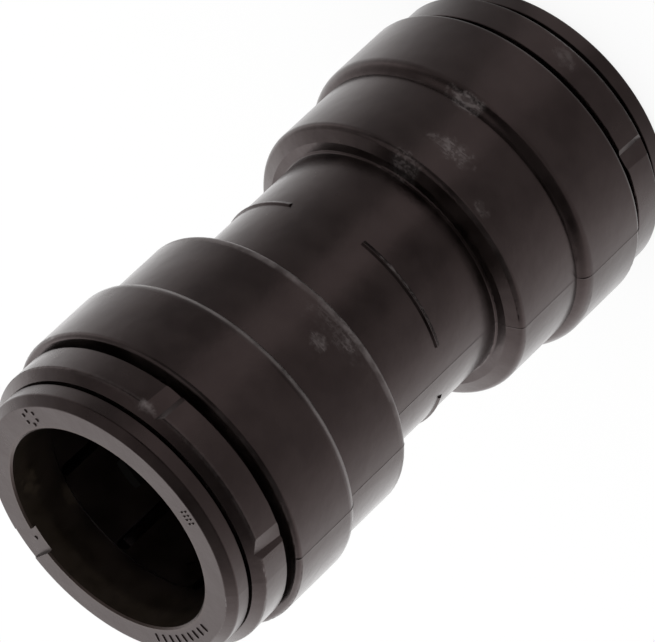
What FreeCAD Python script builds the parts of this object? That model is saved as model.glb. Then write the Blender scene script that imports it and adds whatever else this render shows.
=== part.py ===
import FreeCAD, Part
import math
import os

# Straight push-fit connector for tube, in millimetres.
# The axis is Z and the connector stands on the face of its lower collet at Z = 0.
# The mould's parting plane is the plane of X and Z. Both ends are the same and hold
# a retaining cartridge, a collet with eight steel teeth, and an O-ring.
# "Depth" is the distance from an end face inwards, along the axis.

# Tube and overall length
tube_radius = 11.0
length = 65.3

# Collet
tube_clearance = 0.12
collet_wall = 1.23
collet_mouth_chamfer = 0.18
collet_guide_length = 5.6
finger_relief = 0.28
collet_flange_step = 2.2
collet_flange_thickness = 2.2
collet_bevel_width = 0.9
collet_bevel_depth = 0.65
collet_edge_round = 0.25
collet_back_edge_round = 0.12
collet_root_round = 0.12
finger_count = 8
finger_slot_width = 1.2
head_height = 0.85
head_land = 2.48
head_end_chamfer = 0.4

# Recess across the collet's face, left by a wrench or a key
face_recess_angle = 14.2
face_recess_depth = 0.5
face_recess_azimuth = 219.3

# How far the collet moves, and the play that it keeps
release_gap = 0.35
push_play = 0.05
collet_travel = 2.0
stop_play = 0.06
collet_clearance = 0.10
cone_angle = 28.0

# Steel teeth
tooth_tip_inset = 0.25
tooth_width = 3.0
tooth_thickness = 0.4
tooth_setback = 1.5
tooth_lean = 38.0
tooth_root_cover = 0.45

# Retaining cartridge
cartridge_guide_length = 4.85
cartridge_rim_thickness = 3.78
cartridge_rim_step = 1.22
cartridge_bevel_width = 1.0
cartridge_bevel_depth = 0.8
cartridge_edge_round = 0.25
cartridge_back_edge_round = 0.12
cartridge_neck_wall = 0.93
head_clearance = 0.25
chamber_play = 0.25
chamber_floor = 0.25
nose_length = 4.5
nose_bore_clearance = 0.25
nose_clearance = 0.1
nose_chamfer = 0.3

# Notches round the cartridge's rim, two close together on each side: a lopsided V, deep
# in front and shallow behind
notch_width = 2.45
notch_wall_run = 0.7
notch_front_depth = 0.5
notch_back_depth = 0.25
notch_skew = 0.3
notch_azimuths = (15.3, 75.3, 195.3, 255.3)
lower_cartridge_turn = 40.6

# O-ring
seal_bite = 0.07
seal_section = 2.4
seal_play = 0.1
seal_bore_clearance = 0.07

# Body
seat_clearance = 0.02
groove_width = 0.77
body_wall = 1.95
body_end_round = 0.5
seal_wall = 1.95
seat_overrun = 1.48
shoulder_round = 1.33
shoulder_taper = 0.27
seal_overrun = 2.53
back_edge_round = 0.65
back_cone_depth = 0.59
back_face_width = 0.87
back_root_round = 0.25
socket_clearance = 0.15
socket_wall = 1.5
socket_lead_in = 0.8
stop_step = 1.45
stop_thickness = 2.0

# Insertion marks, four raised arcs round the middle of the body, steeper on the upper side
mark_height = 0.2
mark_upper_slope = 0.2
mark_lower_slope = 0.45
mark_crest_round = 0.08
mark_angle = 55.6
mark_azimuths = (43.0, 137.0, 223.0, 317.0)

# Radii that follow
collet_bore_radius = tube_radius + tube_clearance
collet_tube_radius = collet_bore_radius + collet_wall
collet_flange_radius = collet_tube_radius + collet_flange_step
head_radius = collet_tube_radius + head_height
cartridge_hole_radius = collet_tube_radius + collet_clearance
chamber_radius = head_radius + head_clearance
neck_radius = chamber_radius + cartridge_neck_wall
rim_radius = neck_radius + cartridge_rim_step
seal_inner_radius = tube_radius - seal_bite
seal_bore_radius = seal_inner_radius + seal_section + seal_bore_clearance
nose_radius = seal_bore_radius - nose_clearance
nose_bore_radius = tube_radius + nose_bore_clearance
seat_radius = neck_radius + seat_clearance
body_radius = seat_radius + body_wall
seal_housing_radius = seal_bore_radius + seal_wall
socket_radius = tube_radius + socket_clearance
middle_radius = socket_radius + socket_wall
stop_radius = socket_radius - stop_step

# Depths that follow
cone_slope = math.tan(math.radians(cone_angle))
cartridge_front = collet_flange_thickness + release_gap
cartridge_rim_back = cartridge_front + cartridge_rim_thickness
body_end = cartridge_rim_back + groove_width
cone_start = cartridge_front + cartridge_guide_length
cone_end = cone_start + (chamber_radius - cartridge_hole_radius) / cone_slope
head_start = cone_start + collet_travel - (collet_clearance - stop_play) / cone_slope
head_full = head_start + head_height / cone_slope
collet_end = head_full + head_land
chamber_end = collet_end + release_gap - push_play + chamber_play
neck_end = chamber_end + chamber_floor
nose_end = neck_end + nose_length
seal_centre = nose_end + seal_play + seal_section / 2
seat_floor = nose_end + 2 * seal_play + seal_section
shoulder = neck_end + seat_overrun
back_edge = seat_floor + seal_overrun
back_face = back_edge + back_cone_depth
half_length = length / 2

Z_AXIS = FreeCAD.Vector(0, 0, 1)
ORIGIN = FreeCAD.Vector(0, 0, 0)


def corner(points, i):
    """Ends and middle of the arc that rounds corner i, or the bare corner."""
    r, depth = points[i][:2]
    here = FreeCAD.Vector(r, 0, half_length - depth)
    radius = points[i][2] if len(points[i]) > 2 else 0
    if not radius:
        return None, here
    before = points[i - 1]
    after = points[(i + 1) % len(points)]
    to_before = (FreeCAD.Vector(before[0], 0, half_length - before[1]) - here).normalize()
    to_after = (FreeCAD.Vector(after[0], 0, half_length - after[1]) - here).normalize()
    half_turn = to_before.getAngle(to_after) / 2
    reach = radius / math.tan(half_turn)
    bisector = (to_before + to_after).normalize()
    middle = here + bisector * (radius / math.sin(half_turn) - radius)
    return (here + to_before * reach, middle, here + to_after * reach), here


def ring(points, sweep=360.0):
    """Revolve an outline of (radius, depth[, corner radius]) points about Z."""
    corners = [corner(points, i) for i in range(len(points))]
    edges = []
    for i, (arc, here) in enumerate(corners):
        next_arc, next_here = corners[(i + 1) % len(corners)]
        start = arc[2] if arc else here
        end = next_arc[0] if next_arc else next_here
        if arc:
            edges.append(Part.Arc(*arc).toShape())
        edges.append(Part.LineSegment(start, end).toShape())
    face = Part.Face(Part.Wire(edges))
    return face.revolve(ORIGIN, Z_AXIS, sweep)


def turned(shape, azimuth):
    copy = shape.copy()
    copy.rotate(ORIGIN, Z_AXIS, azimuth)
    return copy


def make_body():
    """Moulded body: stepped sockets, thin middle, tube stop and insertion marks."""
    outer = [
        (middle_radius, back_face, back_root_round),
        (middle_radius + back_root_round + back_face_width, back_face),
        (seal_housing_radius, back_edge, back_edge_round),
        (seal_housing_radius, shoulder),
        (body_radius, shoulder - shoulder_taper, shoulder_round),
        (body_radius, body_end, body_end_round),
    ]
    inner = [
        (seat_radius, body_end),
        (seat_radius, neck_end),
        (seal_bore_radius, neck_end),
        (seal_bore_radius, seat_floor),
        (socket_radius + socket_lead_in, seat_floor),
        (socket_radius, seat_floor + socket_lead_in),
        (socket_radius, half_length - stop_thickness / 2),
        (stop_radius, half_length - stop_thickness / 2),
    ]
    top_half = outer + inner
    bottom_half = [(p[0], length - p[1]) + p[2:] for p in reversed(top_half)]
    body = ring(top_half + bottom_half)
    mark = ring(
        [
            (middle_radius - socket_wall / 2, half_length - mark_upper_slope),
            (middle_radius, half_length - mark_upper_slope),
            (middle_radius + mark_height, half_length, mark_crest_round),
            (middle_radius, half_length + mark_lower_slope),
            (middle_radius - socket_wall / 2, half_length + mark_lower_slope),
        ],
        mark_angle,
    )
    marks = [turned(mark, azimuth - mark_angle / 2) for azimuth in mark_azimuths]
    return body.fuse(marks)


def make_notch():
    """Cutter for the notch at azimuth zero: lofted from its front outline to its back one."""
    side = notch_width / 2
    outside = rim_radius + notch_front_depth
    front = (cartridge_front - release_gap / 2, notch_front_depth, 0)
    back = (cartridge_rim_back + release_gap / 2, notch_back_depth, -notch_skew)
    outlines = []
    for depth, cut, shift in (front, back):
        corners = [
            (rim_radius - cut, shift - side + notch_wall_run),
            (rim_radius, shift + side),
            (outside, shift + side),
            (outside, shift - side),
            (rim_radius, shift - side),
        ]
        corners = [FreeCAD.Vector(x, y, half_length - depth) for x, y in corners]
        outlines.append(Part.makePolygon(corners + corners[:1]))
    return Part.makeLoft(outlines, True, True)


def make_cartridge():
    """Retaining cartridge: notched rim, neck with the locking cone, and a nose."""
    blank = ring(
        [
            (cartridge_hole_radius, cartridge_front),
            (rim_radius - cartridge_bevel_width, cartridge_front),
            (rim_radius, cartridge_front + cartridge_bevel_depth, cartridge_edge_round),
            (rim_radius, cartridge_rim_back, cartridge_back_edge_round),
            (neck_radius, cartridge_rim_back),
            (neck_radius, neck_end),
            (nose_radius, neck_end),
            (nose_radius, nose_end - nose_chamfer),
            (nose_radius - nose_chamfer, nose_end),
            (nose_bore_radius, nose_end),
            (nose_bore_radius, chamber_end + nose_chamfer),
            (nose_bore_radius + nose_chamfer, chamber_end),
            (chamber_radius, chamber_end),
            (chamber_radius, cone_end),
            (cartridge_hole_radius, cone_start),
        ]
    )
    notch = make_notch()
    return blank.cut([turned(notch, azimuth) for azimuth in notch_azimuths])


def make_tooth():
    """Grab tooth at azimuth zero: a leaning plate, ground to an edge at its tip."""
    lean = math.radians(tooth_lean)
    inwards = FreeCAD.Vector(-math.cos(lean), 0, -math.sin(lean))
    across = FreeCAD.Vector(-math.sin(lean), 0, math.cos(lean))
    tip_radius = tube_radius - tooth_tip_inset
    root_radius = head_radius - tooth_root_cover
    plate_length = (root_radius - tip_radius) / math.cos(lean)
    tip_depth = head_full + tooth_setback
    tip = FreeCAD.Vector(tip_radius, -tooth_width / 2, half_length - tip_depth)
    ground_back = tip - inwards * tooth_thickness + across * tooth_thickness
    root = tip - inwards * plate_length
    outline = [tip, ground_back, root + across * tooth_thickness, root]
    face = Part.Face(Part.makePolygon(outline + outline[:1]))
    return face.extrude(FreeCAD.Vector(0, tooth_width, 0))


def make_collet(teeth):
    """Collet: flanged face ring, guide tube and eight fingers with cone heads."""
    relief_radius = collet_bore_radius + finger_relief
    blank = ring(
        [
            (collet_bore_radius + collet_mouth_chamfer, 0),
            (collet_flange_radius - collet_bevel_width, 0, collet_edge_round),
            (collet_flange_radius, collet_bevel_depth, collet_edge_round),
            (collet_flange_radius, collet_flange_thickness, collet_back_edge_round),
            (collet_tube_radius, collet_flange_thickness, collet_root_round),
            (collet_tube_radius, head_start),
            (head_radius, head_full),
            (head_radius, collet_end - head_end_chamfer),
            (head_radius - head_end_chamfer, collet_end),
            (relief_radius + head_end_chamfer, collet_end),
            (relief_radius, collet_end - head_end_chamfer),
            (relief_radius, collet_guide_length + finger_relief),
            (collet_bore_radius, collet_guide_length),
            (collet_bore_radius, collet_mouth_chamfer),
        ]
    )
    slot_round = finger_slot_width / 2
    slot_top = collet_guide_length + finger_relief + slot_round
    slot_reach = 2 * head_radius
    slot = Part.makeBox(
        slot_reach,
        finger_slot_width,
        collet_end - slot_top + slot_round,
        FreeCAD.Vector(0, -slot_round, half_length - collet_end - slot_round),
    )
    slot_end = Part.makeCylinder(
        slot_round,
        slot_reach,
        FreeCAD.Vector(0, 0, half_length - slot_top),
        FreeCAD.Vector(1, 0, 0),
    )
    pitch = 360.0 / finger_count
    slots = []
    for i in range(finger_count):
        azimuth = (i + 0.5) * pitch
        slots += [turned(slot, azimuth), turned(slot_end, azimuth)]
    inside = collet_bore_radius / 2
    outside = 2 * collet_flange_radius
    recess = ring(
        [
            (inside, -face_recess_depth),
            (outside, -face_recess_depth),
            (outside, face_recess_depth),
            (inside, face_recess_depth),
        ],
        face_recess_angle,
    )
    recess = turned(recess, face_recess_azimuth - face_recess_angle / 2)
    return blank.cut(slots + [recess] + teeth)


def make_seal():
    centre_radius = seal_inner_radius + seal_section / 2
    centre = FreeCAD.Vector(0, 0, half_length - seal_centre)
    return Part.makeTorus(centre_radius, seal_section / 2, centre)


def placed(shape, end, turn=0.0):
    """Stand an end's piece in the connector: the lower end is the upper one flipped."""
    copy = turned(shape, turn)
    if end == "bottom":
        copy.rotate(ORIGIN, FreeCAD.Vector(1, 0, 0), 180)
    copy.translate(FreeCAD.Vector(0, 0, half_length))
    return copy


def make_parts():
    finger_pitch = 360.0 / finger_count
    tooth = make_tooth()
    teeth = [turned(tooth, i * finger_pitch) for i in range(finger_count)]
    cartridge = make_cartridge()
    collet = make_collet(teeth)
    seal = make_seal()
    parts = {"body": placed(make_body(), "top")}
    for end, cartridge_turn in (("top", 0.0), ("bottom", -lower_cartridge_turn)):
        parts["cartridge_" + end] = placed(cartridge, end, cartridge_turn)
        parts["collet_" + end] = placed(collet, end)
        parts["o_ring_" + end] = placed(seal, end)
        for i, one in enumerate(teeth):
            parts["tooth_" + end + "_" + str(i + 1)] = placed(one, end)
    return parts


os.makedirs("parts", exist_ok=True)
for name, shape in make_parts().items():
    shape.exportStep("parts/" + name + ".step")
    print(name, "solids", len(shape.Solids), "volume", round(shape.Volume, 2))
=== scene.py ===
import math

import bpy
import numpy as np
from mathutils import Matrix, Vector


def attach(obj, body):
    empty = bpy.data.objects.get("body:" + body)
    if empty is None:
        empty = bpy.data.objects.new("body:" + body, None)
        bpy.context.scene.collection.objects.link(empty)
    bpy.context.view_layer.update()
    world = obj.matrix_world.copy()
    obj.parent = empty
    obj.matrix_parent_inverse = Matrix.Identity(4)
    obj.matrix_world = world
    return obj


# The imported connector: a straight push-fit fitting that stands on its lower collet.
# Its axis is Z, and both ends are alike. Sizes are in millimetres times MM, angles in
# degrees, and "depth" is the distance from the nearer end face, along the axis.
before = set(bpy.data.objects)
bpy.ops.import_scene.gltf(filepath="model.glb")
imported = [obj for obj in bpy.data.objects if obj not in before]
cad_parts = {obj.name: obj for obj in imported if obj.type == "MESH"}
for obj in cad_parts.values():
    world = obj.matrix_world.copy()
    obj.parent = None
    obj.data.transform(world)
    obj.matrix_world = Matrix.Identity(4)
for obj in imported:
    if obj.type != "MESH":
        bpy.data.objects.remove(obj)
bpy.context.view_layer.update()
MM = 0.001

# Camera: a long lens that looks down on the upper end, turned so that the axis lies
# across the picture from the lower left to the upper right.
CAMERA_AZIMUTH = math.radians(57.3)
CAMERA_ELEVATION = math.radians(31.70)
CAMERA_DISTANCE = 592.61 * MM
CAMERA_ROLL = math.radians(-133.397)
CAMERA_TARGET = Vector((0.0, 0.0, 33.39 * MM))
CAMERA_LENS = 354.175

backward = Vector(
    (
        math.cos(CAMERA_ELEVATION) * math.cos(CAMERA_AZIMUTH),
        math.cos(CAMERA_ELEVATION) * math.sin(CAMERA_AZIMUTH),
        math.sin(CAMERA_ELEVATION),
    )
)
camera = bpy.data.objects.new("camera", bpy.data.cameras.new("camera"))
camera.data.lens = CAMERA_LENS
camera.data.sensor_width = 36.0
level = (-backward).to_track_quat("-Z", "Y").to_matrix().to_4x4()
camera.matrix_world = (
    Matrix.Translation(CAMERA_TARGET + backward * CAMERA_DISTANCE)
    @ level
    @ Matrix.Rotation(CAMERA_ROLL, 4, "Z")
)
bpy.context.scene.collection.objects.link(camera)
bpy.context.scene.camera = camera
bpy.context.scene.view_settings.view_transform = "Standard"

# Studio: an even white room is the only light, with a strength of 1 from all sides. In
# reflections the room is brighter behind the fitting and dim on the camera's side, as in a
# light tent with an opening for the lens, and its left wall has one pale and one grey part.
# A place is an azimuth and an elevation, and a ramp holds the cosines of the angle from it
# at which the change starts and ends.
ROOM_DIM = 0.04
ROOM_BRIGHT = 1.6
DIM_PLACE = (62.0, 40.0)
DIM_RAMP = (0.62, -0.5)
PALE_LIGHT = 0.36
PALE_PLACE = (125.0, 55.0)
PALE_RAMP = (0.85, 0.99)
GREY_DEPTH = 0.45
GREY_PLACE = (177.0, 32.0)
GREY_RAMP = (0.8, 0.99)


def add_node(tree, kind, **settings):
    """A shader node of one kind, with its settings."""
    node = tree.nodes.new("ShaderNode" + kind)
    for name, value in settings.items():
        setattr(node, name, value)
    return node


def feed(tree, socket, value):
    """Link an output into a socket, or set the socket to a plain value."""
    if isinstance(value, bpy.types.NodeSocket):
        tree.links.new(value, socket)
    else:
        socket.default_value = value


def calc(tree, operation, *values):
    """One step of arithmetic on outputs and numbers."""
    node = add_node(tree, "Math", operation=operation)
    for socket, value in zip(node.inputs, values):
        feed(tree, socket, value)
    return node.outputs["Value"]


def vector_calc(tree, operation, output, *values):
    """One step of vector arithmetic, and the output that holds its result."""
    node = add_node(tree, "VectorMath", operation=operation)
    for socket, value in zip(node.inputs, values):
        feed(tree, socket, value)
    return node.outputs[output]


def ease(tree, value, start, end, low=0.0, high=1.0):
    """Smooth rise from low to high while the value goes from start to end."""
    node = add_node(tree, "MapRange", interpolation_type="SMOOTHSTEP")
    feed(tree, node.inputs["Value"], value)
    for name, number in zip(("From Min", "From Max", "To Min", "To Max"), (start, end, low, high)):
        node.inputs[name].default_value = number
    return node.outputs["Result"]


def mix_number(tree, share, first, second):
    """The first number where the share is 0, and the second where it is 1."""
    node = add_node(tree, "Mix", data_type="FLOAT")
    for socket, value in zip((node.inputs[0], node.inputs[2], node.inputs[3]), (share, first, second)):
        feed(tree, socket, value)
    return node.outputs[0]


def sky_ease(tree, direction, place, ramp, low, high):
    """Smooth change from low to high while a direction nears a place on the sky."""
    azimuth, elevation = map(math.radians, place)
    level = math.cos(elevation)
    centre = (level * math.cos(azimuth), level * math.sin(azimuth), math.sin(elevation))
    cosine = vector_calc(tree, "DOT_PRODUCT", "Value", direction, centre)
    return ease(tree, cosine, *ramp, low, high)


def mirrored_rays(tree):
    """1 for rays that left a piece by reflection or through glass, and 0 for all others."""
    rays = add_node(tree, "LightPath").outputs
    return calc(tree, "MAXIMUM", rays["Is Glossy Ray"], rays["Is Transmission Ray"])


world = bpy.data.worlds.new("soft_room")
bpy.context.scene.world = world
world.use_nodes = True
tree = world.node_tree
tree.nodes.clear()
direction = add_node(tree, "TexCoord").outputs["Generated"]
shaped = sky_ease(tree, direction, DIM_PLACE, DIM_RAMP, ROOM_DIM, ROOM_BRIGHT)
grey = sky_ease(tree, direction, GREY_PLACE, GREY_RAMP, 1.0, 1.0 - GREY_DEPTH)
pale = sky_ease(tree, direction, PALE_PLACE, PALE_RAMP, 0.0, PALE_LIGHT)
shaped = calc(tree, "MULTIPLY_ADD", shaped, grey, pale)
room = add_node(tree, "Background")
room.inputs["Color"].default_value = (1.0, 1.0, 1.0, 1.0)
feed(tree, room.inputs["Strength"], mix_number(tree, mirrored_rays(tree), 1.0, shaped))
feed(tree, add_node(tree, "OutputWorld").inputs["Surface"], room.outputs["Background"])
world.cycles.sampling_method = "NONE"

# Floor: white paper, a hair below the fitting's foot. To the camera it is nearly white and keeps the
# fitting's shadow. In reflections it glows white behind the fitting and grey on the side of the lens:
# painted reflections, with a painted shadow in front of the fitting.
FLOOR_RADIUS = 1.5
FLOOR_DROP = 0.02 * MM
PAPER_COLOUR = (0.82, 0.82, 0.82, 1.0)
PAPER_SHARE = 0.13
PAPER_WHITE = 0.9
# In reflections: the painted glow far from the foot and close to it, both dim towards one side, then
# the painted shade in front of the fitting and at its left, and a painted gleam towards the lens
DIM_SIDE = (75.0, 0.0)
MIRRORED_DIM = 0.42
MIRRORED_BRIGHT = 1.5
MIRRORED_RAMP = (0.7, -1.0)
FOOT_DIM = 0.36
FOOT_BRIGHT = 1.2
FOOT_RAMP = (0.88, -0.12)
FOOT_REACH = (66.0 * MM, 20.0 * MM)
SHADE_DEPTH = 0.5
SHADE_CENTRE = (46.0 * MM, 47.0 * MM, 0.0)
SHADE_REACH = (8.0 * MM, 30.0 * MM)
SIDE_SHADE = 0.35
SIDE_PLACE = (112.0, 0.0)
SIDE_RAMP = (0.99, 0.82)
GLEAM_LIGHT = 0.25
GLEAM_PLACE = (80.0, 0.0)
GLEAM_RAMP = (0.94, 0.995)


def new_material(name):
    """An empty node material, its tree and the socket of its surface."""
    material = bpy.data.materials.new(name)
    material.use_nodes = True
    tree = material.node_tree
    tree.nodes.clear()
    return material, tree, add_node(tree, "OutputMaterial").inputs["Surface"]


def new_piece(name, verts, faces, material):
    """A mesh object at the origin, from vertex and face arrays."""
    mesh = bpy.data.meshes.new(name)
    mesh.from_pydata(verts.tolist(), [], faces)
    mesh.materials.append(material)
    piece = bpy.data.objects.new(name, mesh)
    bpy.context.scene.collection.objects.link(piece)
    return piece


def grid_faces(rows, columns, offset=0):
    """Quads between neighbouring rows of a grid whose columns close into a ring."""
    row, column = np.meshgrid(np.arange(rows - 1), np.arange(columns), indexing="ij")
    after = (column + 1) % columns
    here = row * columns
    above = here + columns
    corners = (here + column, above + column, above + after, here + after)
    return np.stack(corners, -1).reshape(-1, 4) + offset


def flat_disc(radius, rings=24, around=96):
    """Points at radius times cosine and sine of the angle, with radii in equal ratios, all
    at one height just below zero."""
    r = np.geomspace(1 * MM, radius, rings)[:, None]
    a = np.linspace(0, 2 * np.pi, around, endpoint=False)[None, :]
    verts = np.stack([r * np.cos(a), r * np.sin(a), 0 * r * a - FLOOR_DROP], -1).reshape(-1, 3)
    return verts, grid_faces(rings, around).tolist() + [list(range(around))]


paper, tree, surface = new_material("floor_paper")
paper.cycles.emission_sampling = "NONE"
place = add_node(tree, "TexCoord").outputs["Object"]
outward = vector_calc(tree, "NORMALIZE", "Vector", place)
glow = sky_ease(tree, outward, DIM_SIDE, MIRRORED_RAMP, MIRRORED_DIM, MIRRORED_BRIGHT)
from_shade = vector_calc(tree, "DISTANCE", "Value", place, SHADE_CENTRE)
glow = calc(tree, "MULTIPLY", glow, ease(tree, from_shade, *SHADE_REACH, 1.0 - SHADE_DEPTH, 1.0))
side = sky_ease(tree, outward, SIDE_PLACE, SIDE_RAMP, 1.0 - SIDE_SHADE, 1.0)
glow = calc(tree, "MULTIPLY", glow, side)
at_foot = ease(tree, vector_calc(tree, "LENGTH", "Value", place), *FOOT_REACH)
foot_glow = sky_ease(tree, outward, DIM_SIDE, FOOT_RAMP, FOOT_DIM, FOOT_BRIGHT)
glow = mix_number(tree, at_foot, glow, foot_glow)
gleam = sky_ease(tree, outward, GLEAM_PLACE, GLEAM_RAMP, 0.0, GLEAM_LIGHT)
glow = calc(tree, "ADD", glow, gleam)
mirrored = mirrored_rays(tree)
camera_ray = add_node(tree, "LightPath").outputs["Is Camera Ray"]
glow = calc(tree, "MULTIPLY", glow, mirrored)
glow = calc(tree, "MULTIPLY_ADD", camera_ray, PAPER_WHITE, glow)
shine = add_node(tree, "Emission")
feed(tree, shine.inputs["Strength"], glow)
hidden = calc(tree, "MULTIPLY_ADD", camera_ray, 1.0 - PAPER_SHARE, mirrored)
matt = add_node(tree, "BsdfDiffuse")
matt.inputs["Color"].default_value = PAPER_COLOUR
unlit = add_node(tree, "Emission")
unlit.inputs["Strength"].default_value = 0.0
shaded = add_node(tree, "MixShader")
feed(tree, shaded.inputs["Fac"], hidden)
feed(tree, shaded.inputs[1], matt.outputs["BSDF"])
feed(tree, shaded.inputs[2], unlit.outputs["Emission"])
both = add_node(tree, "AddShader")
feed(tree, both.inputs[0], shaded.outputs["Shader"])
feed(tree, both.inputs[1], shine.outputs["Emission"])
feed(tree, surface, both.outputs["Shader"])
floor = new_piece("studio_floor", *flat_disc(FLOOR_RADIUS), paper)

# Body: one piece of black plastic, moulded over a core in a mould whose halves part on the plane of X
# and Z. Its skin is glossy with soft clouds and a fine grain, rubbed pale where fittings knock
# together in their bag. The paler paint on the upper shoulder, on the upper back edge and along the
# two arc marks is painted highlight.
BLACK = (0.0014, 0.0009, 0.0007)
PALE_BLACK = (0.008, 0.006, 0.0055)
PALE_FOR_RUBS_AND_HIGHLIGHTS = (0.076, 0.069, 0.068)
SPECULAR = 0.6
SPECULAR_TINT = (1.0, 0.72, 0.70, 1.0)
BODY_ROUGHNESS = 0.235
PALER_ROUGHNESS = 0.4
# A ramp on noise: where the rise starts and ends, and then its lowest and highest result
CLOUD_SIZE = 3.5 * MM
CLOUD_RAMP = (0.3, 0.7)
CLOUD_HEIGHT = 0.06 * MM
CLOUD_GLOSS = 0.16
GRAIN_SIZE = 0.2 * MM
GRAIN_HEIGHT = 0.004 * MM
GRAIN_GLOSS = 0.04
SPECK_SIZE = 0.35 * MM
SPECK_RAMP = (0.45, 0.68, 0.25, 0.9)
STREAK_SIZE = 0.25 * MM
STREAK_TURN = math.radians(40.0)
STREAK_STRETCH = 6.0
STREAK_RAMP = (0.50, 0.62)
UNEVEN_SIZE = 1.5 * MM
UNEVEN_RAMP = (0.35, 0.65, 0.3, 1.0)
RAGGED_SIZE = 0.9 * MM
RAGGED_DEPTH = 0.8
PATCH_FADE = (1.0, 0.1)
FULL_EDGE_SHARE = 0.4
LENGTH = 65.3 * MM
BODY_RADIUS = 16.35 * MM
HOUSING_RADIUS = 15.35 * MM
BODY_END_DEPTH = 7.10 * MM
SHOULDER_DEPTH = 15.68 * MM
BACK_EDGE_DEPTH = 23.83 * MM
# Paler corners of the body: radius, height, reach of the paleness and its strength, which is full over
# the full share of the reach. The lower corners and the upper end edge are faintly worn; the strong
# upper shoulder and back edge are painted highlights over a little wear.
EDGE_WEAR_AND_HIGHLIGHTS = (
    (BODY_RADIUS, LENGTH - BODY_END_DEPTH, 0.5 * MM, 0.1),
    (BODY_RADIUS, LENGTH - SHOULDER_DEPTH + 0.45 * MM, 0.6 * MM, 1.1),
    (HOUSING_RADIUS, LENGTH - BACK_EDGE_DEPTH + 0.2 * MM, 0.7 * MM, 1.0),
    (HOUSING_RADIUS, BACK_EDGE_DEPTH, 0.5 * MM, 0.1),
    (BODY_RADIUS, SHOULDER_DEPTH, 0.5 * MM, 0.1),
    (BODY_RADIUS, BODY_END_DEPTH, 0.5 * MM, 0.1),
)
# Where the body is rubbed, and where highlights are painted: azimuth in degrees, height, width and
# tallness in mm, strength
SCUFFS_AND_HIGHLIGHTS = (
    (79.0, 15.4, 5.2, 1.8, 1.3),
    (71.0, 20.3, 6.0, 2.8, 1.0),
    (80.0, 24.0, 5.4, 1.8, 0.5),
    (49.0, 22.7, 2.6, 1.6, 0.6),
    # painted highlight on the upper shoulder's edge, over a scuff
    (49.0, 50.1, 9.0, 1.1, 1.2),
    (54.6, 45.0, 2.8, 2.0, 1.1),
    (46.5, 42.7, 2.8, 2.2, 0.9),
    # painted highlight on the upper back edge, over a scuff
    (50.5, 41.7, 7.0, 1.5, 1.7),
    (52.0, 42.4, 11.0, 4.5, 0.3),
    # painted highlights along the two arc marks
    (43.0, 32.42, 16.4, 0.5, 0.5),
    (54.0, 32.42, 8.0, 0.5, 1.0),
    (128.0, 52.0, 6.0, 2.4, 0.5),
    (158.0, 17.5, 4.5, 3.0, 0.5),
    (215.0, 55.5, 5.0, 1.6, 0.6),
    (238.0, 22.0, 6.5, 2.2, 0.45),
    (300.0, 44.0, 4.5, 2.5, 0.5),
    (322.0, 13.0, 6.0, 2.0, 0.55),
)


def noise(tree, place, size, detail=2.0, turn=0.0, stretch=1.0):
    """Soft noise with features of a given size, which may be turned and drawn out sideways."""
    mapping = add_node(tree, "Mapping")
    feed(tree, mapping.inputs["Vector"], place)
    mapping.inputs["Rotation"].default_value = (0.0, 0.0, turn)
    mapping.inputs["Scale"].default_value = (1 / (size * stretch), 1 / size, 1 / size)
    texture = add_node(tree, "TexNoise")
    feed(tree, texture.inputs["Vector"], mapping.outputs["Vector"])
    texture.inputs["Scale"].default_value = 1.0
    texture.inputs["Detail"].default_value = detail
    return texture.outputs["Fac"]


def mix_colour(tree, share, first, second):
    """The first colour where the share is 0, and the second where it is 1."""
    node = add_node(tree, "Mix", data_type="RGBA")
    for socket, value in zip((node.inputs[0], node.inputs[6], node.inputs[7]), (share, first, second)):
        feed(tree, socket, value)
    return node.outputs[2]


def unrolled(tree, place):
    """The surface laid flat: arc length at the body's radius sideways, and height upwards."""
    axes = add_node(tree, "SeparateXYZ")
    feed(tree, axes.inputs["Vector"], place)
    azimuth = calc(tree, "ARCTAN2", axes.outputs["Y"], axes.outputs["X"])
    flat = add_node(tree, "CombineXYZ")
    feed(tree, flat.inputs["X"], calc(tree, "MULTIPLY", azimuth, BODY_RADIUS))
    feed(tree, flat.inputs["Y"], axes.outputs["Z"])
    return flat.outputs["Vector"]


def profile_place(tree, place):
    """Place on the turned profile: the radius sideways, and the height upwards."""
    axes = add_node(tree, "SeparateXYZ")
    feed(tree, axes.inputs["Vector"], place)
    off_axis = vector_calc(tree, "MULTIPLY", "Vector", place, (1.0, 1.0, 0.0))
    profile = add_node(tree, "CombineXYZ")
    feed(tree, profile.inputs["X"], vector_calc(tree, "LENGTH", "Value", off_axis))
    feed(tree, profile.inputs["Y"], axes.outputs["Z"])
    return profile.outputs["Vector"]


def patch(tree, flat, azimuth, height, width, tallness, strength):
    """A ragged oval on the unrolled surface: its strength at the centre, zero at its edge."""
    turn = math.radians((azimuth + 180.0) % 360.0 - 180.0)
    centre = (turn * BODY_RADIUS, height * MM, 0.0)
    scale = (2 / (width * MM), 2 / (tallness * MM), 0.0)
    offset = vector_calc(tree, "SUBTRACT", "Vector", flat, centre)
    share = vector_calc(tree, "MULTIPLY", "Vector", offset, scale)
    ragged = noise(tree, flat, RAGGED_SIZE, 3.0)
    ragged = calc(tree, "MULTIPLY_ADD", ragged, 2 * RAGGED_DEPTH, -RAGGED_DEPTH)
    reach = calc(tree, "ADD", vector_calc(tree, "LENGTH", "Value", share), ragged)
    return ease(tree, reach, *PATCH_FADE, 0.0, strength)


def with_patches(tree, least, flat, patches):
    """The least value given, raised at each place to the strongest of several patches."""
    for one in patches:
        least = calc(tree, "MAXIMUM", least, patch(tree, flat, *one))
    return least


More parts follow.
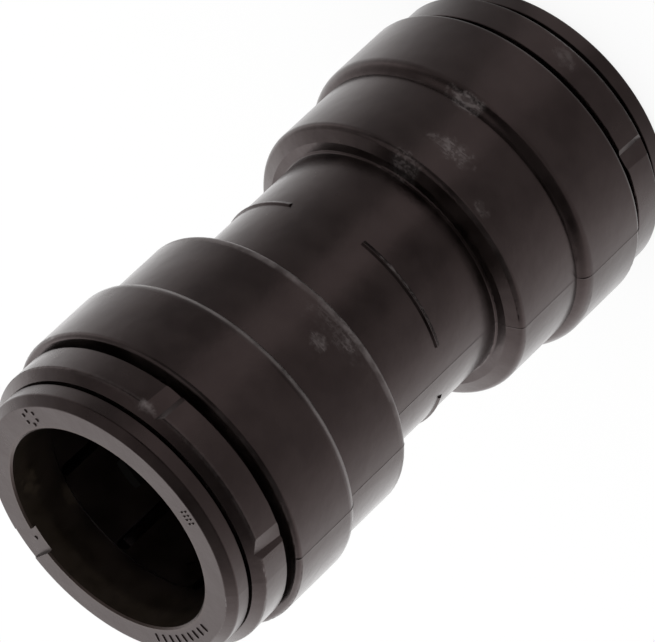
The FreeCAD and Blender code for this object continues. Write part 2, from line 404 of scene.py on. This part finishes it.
def body_rubs_and_highlights(tree, place):
    """Speckled and streaky scuffs at known places and wear along the outer edges, with painted
    highlights on the upper shoulder, the upper back edge and the arc marks.
    """
    flat = unrolled(tree, place)
    specks = ease(tree, noise(tree, place, SPECK_SIZE, 3.0), *SPECK_RAMP)
    streaks = noise(tree, flat, STREAK_SIZE, 2.0, STREAK_TURN, STREAK_STRETCH)
    streaks = ease(tree, streaks, *STREAK_RAMP)
    spots = with_patches(tree, 0.0, flat, SCUFFS_AND_HIGHLIGHTS)
    spots = calc(tree, "MULTIPLY", spots, calc(tree, "MAXIMUM", specks, streaks))
    profile = profile_place(tree, place)
    edges = 0.0
    # Paler edges: faint wear, and painted highlights where the strength is high
    for radius, height, edge_reach, strength in EDGE_WEAR_AND_HIGHLIGHTS:
        away = vector_calc(tree, "DISTANCE", "Value", profile, (radius, height, 0.0))
        edge = ease(tree, away, edge_reach, FULL_EDGE_SHARE * edge_reach, 0.0, strength)
        edges = calc(tree, "MAXIMUM", edges, edge)
    uneven = ease(tree, noise(tree, place, UNEVEN_SIZE, 4.0), *UNEVEN_RAMP)
    return calc(tree, "MAXIMUM", spots, calc(tree, "MULTIPLY", edges, uneven))


def black_plastic(name, roughness, rubs_and_painted_light, pale=PALE_FOR_RUBS_AND_HIGHLIGHTS):
    """Moulded black plastic: its tone and gloss drift in soft clouds a few millimetres wide, over a
    fine grain, and it is paler and duller where it is rubbed, dusty, or painted with highlights and
    light."""
    material, tree, surface = new_material(name)
    place = add_node(tree, "TexCoord").outputs["Object"]
    cloud = noise(tree, place, CLOUD_SIZE, 5.0)
    grain = noise(tree, place, GRAIN_SIZE, 2.0)
    # Paler places: rubs and dust, and painted highlights and painted light
    rubbed_and_painted_light = rubs_and_painted_light(tree, place)
    tone = mix_colour(tree, ease(tree, cloud, *CLOUD_RAMP), (*BLACK, 1.0), (*PALE_BLACK, 1.0))
    gloss = calc(tree, "MULTIPLY_ADD", cloud, CLOUD_GLOSS, roughness - (CLOUD_GLOSS + GRAIN_GLOSS) / 2)
    gloss = calc(tree, "MULTIPLY_ADD", grain, GRAIN_GLOSS, gloss)
    ripple = add_node(tree, "Bump")
    ripple.inputs["Distance"].default_value = CLOUD_HEIGHT
    feed(tree, ripple.inputs["Height"], cloud)
    skin = add_node(tree, "Bump")
    skin.inputs["Distance"].default_value = GRAIN_HEIGHT
    feed(tree, skin.inputs["Height"], grain)
    feed(tree, skin.inputs["Normal"], ripple.outputs["Normal"])
    shader = add_node(tree, "BsdfPrincipled")
    shader.inputs["Specular IOR Level"].default_value = SPECULAR
    shader.inputs["Specular Tint"].default_value = SPECULAR_TINT
    feed(tree, shader.inputs["Base Color"], mix_colour(tree, rubbed_and_painted_light, tone, (*pale, 1.0)))
    feed(tree, shader.inputs["Roughness"], mix_number(tree, rubbed_and_painted_light, gloss, PALER_ROUGHNESS))
    feed(tree, shader.inputs["Normal"], skin.outputs["Normal"])
    feed(tree, surface, shader.outputs["BSDF"])
    return material


def finish(name, material):
    """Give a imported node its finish, on all its faces."""
    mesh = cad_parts[name].data
    mesh.materials.clear()
    mesh.materials.append(material)
    mesh.polygons.foreach_set("material_index", np.zeros(len(mesh.polygons), dtype=np.int32))


body_plastic = black_plastic("body_plastic", BODY_ROUGHNESS, body_rubs_and_highlights)
finish("body", body_plastic)

# Parting flash: where the two halves of the mould meet, a thin line of plastic stands up
# along both sides of the body, from one end to the other.
FLASH_WIDTH = 0.14 * MM
FLASH_HEIGHT = 0.025 * MM
FLASH_ROOT = 0.04 * MM
FLASH_STEPS = 9
FLASH_SIDES = 10
HALF_LENGTH = LENGTH / 2
MIDDLE_RADIUS = 12.65 * MM
BACK_FACE_DEPTH = 24.42 * MM
BACK_FACE_RADIUS = 13.77 * MM
SHOULDER_TAPER = 0.27 * MM
# Half of the body's profile, from its mouth to its middle: radius, depth and rounding
body_corners = (
    (BODY_RADIUS - 0.4 * MM, BODY_END_DEPTH, 0.0),
    (BODY_RADIUS, BODY_END_DEPTH, 0.38 * MM),
    (BODY_RADIUS, SHOULDER_DEPTH - SHOULDER_TAPER, 1.33 * MM),
    (HOUSING_RADIUS, SHOULDER_DEPTH, 0.04 * MM),
    (HOUSING_RADIUS, BACK_EDGE_DEPTH, 0.65 * MM),
    (BACK_FACE_RADIUS, BACK_FACE_DEPTH, 0.1 * MM),
    (MIDDLE_RADIUS, BACK_FACE_DEPTH, 0.25 * MM),
    (MIDDLE_RADIUS, HALF_LENGTH, 0.0),
)


def rounded_path(corners, steps):
    """Straight runs between corners of (radius, depth, rounding), each corner an arc that
    leaves both runs at the same distance: a quadratic curve drawn towards the corner."""
    points = [np.array(corners[0][:2])]
    t = np.linspace(0, 1, steps)[:, None]
    for before, here, after in zip(corners[:-2], corners[1:-1], corners[2:]):
        at = np.array(here[:2])
        back = np.array(before[:2]) - at
        on = np.array(after[:2]) - at
        back /= np.linalg.norm(back)
        on /= np.linalg.norm(on)
        half_turn = np.arccos(np.clip(back @ on, -1, 1)) / 2
        start = at + back * here[2] / np.tan(half_turn)
        end = at + on * here[2] / np.tan(half_turn)
        points.append((1 - t) ** 2 * start + 2 * t * (1 - t) * at + t**2 * end)
    points.append(np.array(corners[-1][:2]))
    return np.vstack(points)


def flash_rings(path, azimuth):
    """Rings along a path of radius and height, at one azimuth. Each ring is an oval across
    the path: cosine times half the width sideways, sine times the height outwards."""
    along = np.gradient(path, axis=0)
    along /= np.linalg.norm(along, axis=1)[:, None]
    outwards = np.stack([-along[:, 1], along[:, 0]], 1)
    a = np.linspace(2 * np.pi, 0, FLASH_SIDES, endpoint=False)
    rise = np.where(np.sin(a) > 0, FLASH_HEIGHT, FLASH_ROOT) * np.sin(a)
    points = path[:, None, :] + outwards[:, None, :] * rise[None, :, None]
    sideways = np.broadcast_to(np.cos(a) * FLASH_WIDTH / 2, points.shape[:2])
    x = points[..., 0] * math.cos(azimuth) - sideways * math.sin(azimuth)
    y = points[..., 0] * math.sin(azimuth) + sideways * math.cos(azimuth)
    return np.stack([x, y, points[..., 1]], -1)


def closed_mesh(parts):
    """Vertices and faces of several ring stacks: quads between the rings, and a flat cap on
    the first and the last ring of each stack."""
    verts, faces, count = [], [], 0
    for rings in parts:
        rows, columns = rings.shape[:2]
        first = np.arange(count, count + columns)
        last = first[::-1] + (rows - 1) * columns
        faces += grid_faces(rows, columns, count).tolist() + [first.tolist(), last.tolist()]
        verts.append(rings.reshape(-1, 3))
        count += rows * columns
    return np.vstack(verts), faces


lower_path = rounded_path(body_corners, FLASH_STEPS)
upper_path = np.stack([lower_path[:, 0], LENGTH - lower_path[:, 1]], 1)
flash_path = np.vstack([upper_path, lower_path[-2::-1]])
flash = new_piece(
    "parting_flash",
    *closed_mesh([flash_rings(flash_path, 0.0), flash_rings(flash_path, math.pi)]),
    body_plastic,
)
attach(flash, "fitting")

# Cartridges: rings of the same black plastic, pressed into the body's mouths. The corner of the rim is
# worn a little, and so are a few places that fingers and tools have touched. One pale patch on the
# upper cartridge's bevel, beside a notch, is a painted highlight.
CARTRIDGE_ROUGHNESS = 0.25
# The corner between rim and bevel: radius and depth
CARTRIDGE_EDGE = (15.6 * MM, 3.35 * MM, 0.0)
CARTRIDGE_WEAR = 0.12
CARTRIDGE_WEAR_REACH = (0.4 * MM, 0.1 * MM)
CARTRIDGE_UNEVEN_SIZE = 0.6 * MM
CARTRIDGE_UNEVEN_RAMP = (0.35, 0.6, 0.3, 1.0)
# Azimuth in degrees, height, width and tallness in mm, strength
CARTRIDGE_SCUFFS_AND_HIGHLIGHT = (
    # painted highlight on the upper bevel beside a notch
    (78.0, 61.9, 2.8, 1.3, 1.0),
    (67.0, 4.6, 3.6, 2.2, 0.45),
    (170.0, 61.0, 4.0, 1.6, 0.6),
    (250.0, 4.0, 3.0, 1.8, 0.6),
)


def folded_profile(tree, place):
    """Place on the profile that both ends share: the radius sideways, and the depth upwards."""
    axes = add_node(tree, "SeparateXYZ")
    feed(tree, axes.inputs["Vector"], profile_place(tree, place))
    off_middle = calc(tree, "ABSOLUTE", calc(tree, "SUBTRACT", axes.outputs["Y"], HALF_LENGTH))
    folded = add_node(tree, "CombineXYZ")
    feed(tree, folded.inputs["X"], axes.outputs["X"])
    feed(tree, folded.inputs["Y"], calc(tree, "SUBTRACT", HALF_LENGTH, off_middle))
    return folded.outputs["Vector"]


def cartridge_rubs_and_highlight(tree, place):
    """Faint wear along the corner between the rim and its bevel, a few worn patches, and one painted
    highlight patch.
    """
    away = vector_calc(tree, "DISTANCE", "Value", folded_profile(tree, place), CARTRIDGE_EDGE)
    wear_and_highlight = ease(tree, away, *CARTRIDGE_WEAR_REACH, 0.0, CARTRIDGE_WEAR)
    wear_and_highlight = with_patches(tree, wear_and_highlight, unrolled(tree, place), CARTRIDGE_SCUFFS_AND_HIGHLIGHT)
    uneven = ease(tree, noise(tree, place, CARTRIDGE_UNEVEN_SIZE, 4.0), *CARTRIDGE_UNEVEN_RAMP)
    return calc(tree, "MULTIPLY", wear_and_highlight, uneven)


cartridge_plastic = black_plastic("cartridge_plastic", CARTRIDGE_ROUGHNESS, cartridge_rubs_and_highlight)
finish("cartridge_top", cartridge_plastic)
finish("cartridge_bottom", cartridge_plastic)

# Collets: sliding rings of the same plastic, moulded in one piece with their fingers. The bore has a
# thin dust, and its wall is painted paler towards the mouth and in soft patches: painted light where
# light falls into the bore.
COLLET_ROUGHNESS = 0.30
DUST_AND_PAINTED_LIGHT = (0.05, 0.038, 0.026)
DUST_THINNEST = 0.05
DUST_AND_PAINTED_LIGHT_INSIDE = 0.14
PAINTED_LIGHT_AT_MOUTH = 0.16
BORE_UNEVEN_SIZE = 1.2 * MM
BORE_UNEVEN_RAMP = (0.2, 0.6, 0.6, 1.0)
# Radii over which the paleness fades out behind the wall, and depths over which the painted light
# grows towards the mouth
WALL_REACH = (11.57 * MM, 11.47 * MM)
MOUTH_REACH = (2.6 * MM, 1.8 * MM)
FINGER_REACH = (5.6 * MM, 4.1 * MM)
# Patches of painted light on the bore's wall: azimuth in degrees, depth, width and tallness in mm,
# strength
BORE_LIGHT_PATCHES = (
    (193.0, 1.9, 8.0, 3.4, 0.55),
    (213.0, 5.3, 5.0, 2.4, 0.4),
    (290.0, 3.6, 7.0, 3.0, 0.25),
    (70.0, 2.6, 9.0, 3.2, 0.25),
)


def bore_dust_and_painted_light(tree, place):
    """A thin dust on the wall of the bore, with painted light that grows towards the mouth and soft
    patches of painted light.
    """
    profile = add_node(tree, "SeparateXYZ")
    feed(tree, profile.inputs["Vector"], folded_profile(tree, place))
    depth = profile.outputs["Y"]
    bore = ease(tree, profile.outputs["X"], *WALL_REACH)
    flat = add_node(tree, "SeparateXYZ")
    feed(tree, flat.inputs["Vector"], unrolled(tree, place))
    wall = add_node(tree, "CombineXYZ")
    feed(tree, wall.inputs["X"], flat.outputs["X"])
    feed(tree, wall.inputs["Y"], depth)
    # painted light, brightest inside the mouth and fading deeper in, over a thin dust
    bore_paleness = ease(tree, depth, *MOUTH_REACH, 0.0, PAINTED_LIGHT_AT_MOUTH)
    further_in = ease(tree, depth, *FINGER_REACH, DUST_THINNEST, DUST_AND_PAINTED_LIGHT_INSIDE)
    bore_paleness = calc(tree, "ADD", bore_paleness, further_in)
    bore_paleness = with_patches(tree, bore_paleness, wall.outputs["Vector"], BORE_LIGHT_PATCHES)
    uneven = ease(tree, noise(tree, place, BORE_UNEVEN_SIZE, 3.0), *BORE_UNEVEN_RAMP)
    return calc(tree, "MULTIPLY", calc(tree, "MULTIPLY", bore_paleness, uneven), bore)


collet_plastic = black_plastic("collet_plastic", COLLET_ROUGHNESS, bore_dust_and_painted_light, DUST_AND_PAINTED_LIGHT)
finish("collet_top", collet_plastic)
finish("collet_bottom", collet_plastic)

# Mould marks on the upper collet's face: a ring of dots, a block of dots, a row of ticks and
# one dot in the recess, all standing up a tenth of a millimetre.
MARK_RISE = 0.1 * MM
MARK_ROOT = 0.06 * MM
MARK_RINGS = 9
MARK_SIDES = 16
RECESS_DEPTH = 0.5 * MM
RECESS_AZIMUTH = 218.7
RECESS_RADIUS = 12.2 * MM
RING_AZIMUTH = 129.3
RING_RADIUS = 12.5 * MM
RING_HALF_WIDTH = 0.85 * MM
RING_HALF_DEPTH = 0.75 * MM
BLOCK_AZIMUTH = 38.4
BLOCK_COLUMNS = (-0.65 * MM, -0.2 * MM, 0.2 * MM, 0.65 * MM)
BLOCK_ROWS = (12.4 * MM, 12.95 * MM)
TICK_COUNT = 9
TICK_AZIMUTH = 293.0
TICK_PITCH = 4.6
TICK_RADIUS = 12.35 * MM
# Sizes of the marks: length, which points away from the axis, and width
RECESS_DOT = (0.45 * MM, 0.45 * MM)
RING_DOT = (0.45 * MM, 0.38 * MM)
BLOCK_DOT = (0.34 * MM, 0.2 * MM)
TICK = (1.0 * MM, 0.24 * MM)


def raised_mark(azimuth, radius, height, length, width, sideways=0.0):
    """Rings of a rounded bar whose length points away from the axis: a pill outline, drawn
    in by the cosine of the latitude to the power of 0.4 and raised by its sine."""
    latitude = np.radians(np.linspace(-85, 85, MARK_RINGS))[:, None]
    a = np.linspace(2 * np.pi, 0, MARK_SIDES, endpoint=False)[None, :]
    spread = np.cos(latitude) ** 0.4
    outward = (np.cos(a) * width / 2 + np.sign(np.cos(a)) * (length - width) / 2) * spread
    across = np.sin(a) * width / 2 * spread + sideways
    lift = np.where(latitude > 0, MARK_RISE, MARK_ROOT) * np.sin(latitude) + 0 * a
    turn = math.radians(azimuth)
    x = (radius + outward) * math.cos(turn) - across * math.sin(turn)
    y = (radius + outward) * math.sin(turn) + across * math.cos(turn)
    return np.stack([x, y, height + lift], -1)


marks = [raised_mark(RECESS_AZIMUTH, RECESS_RADIUS, LENGTH - RECESS_DEPTH, *RECESS_DOT)]
for turn in np.radians(range(0, 360, 60)):
    radius = RING_RADIUS + RING_HALF_DEPTH * math.cos(turn)
    sideways = RING_HALF_WIDTH * math.sin(turn)
    marks.append(raised_mark(RING_AZIMUTH, radius, LENGTH, *RING_DOT, sideways))
for column in BLOCK_COLUMNS:
    for radius in BLOCK_ROWS:
        marks.append(raised_mark(BLOCK_AZIMUTH, radius, LENGTH, *BLOCK_DOT, column))
for tick in range(TICK_COUNT):
    azimuth = TICK_AZIMUTH + TICK_PITCH * tick
    marks.append(raised_mark(azimuth, TICK_RADIUS, LENGTH, *TICK))
face_marks = new_piece("collet_face_marks", *closed_mesh(marks), collet_plastic)
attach(face_marks, "release_top")

# Teeth: strips of stainless steel pressed into the collets' fingers, which lean on the tube and hold
# it. Their steel is painted dark as painted shade for the shadow inside the collet, and its tone and
# gloss drift under a film of grease.
# painted shade: both steel colours are far darker than bare stainless steel
SHADED_STEEL = (0.10, 0.096, 0.09, 1.0)
SHADED_GREASED_STEEL = (0.06, 0.057, 0.053, 1.0)
STEEL_ROUGHNESS = 0.6
FILM_SIZE = 0.8 * MM
FILM_GLOSS = 0.2
SCRATCH_SIZE = 0.05 * MM
SCRATCH_TURN = math.radians(20.0)
SCRATCH_STRETCH = 12.0
SCRATCH_DEPTH = 0.002 * MM

steel, tree, surface = new_material("tooth_steel")
place = add_node(tree, "TexCoord").outputs["Object"]
film = noise(tree, place, FILM_SIZE, 4.0)
scratches = noise(tree, place, SCRATCH_SIZE, 2.0, SCRATCH_TURN, SCRATCH_STRETCH)
groove = add_node(tree, "Bump")
groove.inputs["Distance"].default_value = SCRATCH_DEPTH
feed(tree, groove.inputs["Height"], scratches)
shader = add_node(tree, "BsdfPrincipled")
shader.inputs["Metallic"].default_value = 1.0
feed(tree, shader.inputs["Base Color"], mix_colour(tree, film, SHADED_GREASED_STEEL, SHADED_STEEL))
gloss = calc(tree, "MULTIPLY_ADD", film, FILM_GLOSS, STEEL_ROUGHNESS - FILM_GLOSS / 2)
feed(tree, shader.inputs["Roughness"], gloss)
feed(tree, shader.inputs["Normal"], groove.outputs["Normal"])
feed(tree, surface, shader.outputs["BSDF"])
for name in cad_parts:
    if name.startswith("tooth"):
        finish(name, steel)

# O-rings: black rubber seals between the tube and the body, moulded and wiped with silicone
# grease, so that their gloss is patchy.
RUBBER = (0.012, 0.012, 0.012, 1.0)
GREASED_RUBBER = (0.02, 0.02, 0.021, 1.0)
RUBBER_ROUGHNESS = 0.42
GREASE_SIZE = 2.5 * MM
GREASE_GLOSS = 0.3
PORE_SIZE = 0.12 * MM
PORE_DEPTH = 0.004 * MM

rubber, tree, surface = new_material("seal_rubber")
place = add_node(tree, "TexCoord").outputs["Object"]
grease = noise(tree, place, GREASE_SIZE, 3.0)
pores = noise(tree, place, PORE_SIZE, 2.0)
dimple = add_node(tree, "Bump")
dimple.inputs["Distance"].default_value = PORE_DEPTH
feed(tree, dimple.inputs["Height"], pores)
shader = add_node(tree, "BsdfPrincipled")
feed(tree, shader.inputs["Base Color"], mix_colour(tree, grease, RUBBER, GREASED_RUBBER))
gloss = calc(tree, "MULTIPLY_ADD", grease, GREASE_GLOSS, RUBBER_ROUGHNESS - GREASE_GLOSS / 2)
feed(tree, shader.inputs["Roughness"], gloss)
feed(tree, shader.inputs["Normal"], dimple.outputs["Normal"])
feed(tree, surface, shader.outputs["BSDF"])
finish("o_ring_top", rubber)
finish("o_ring_bottom", rubber)
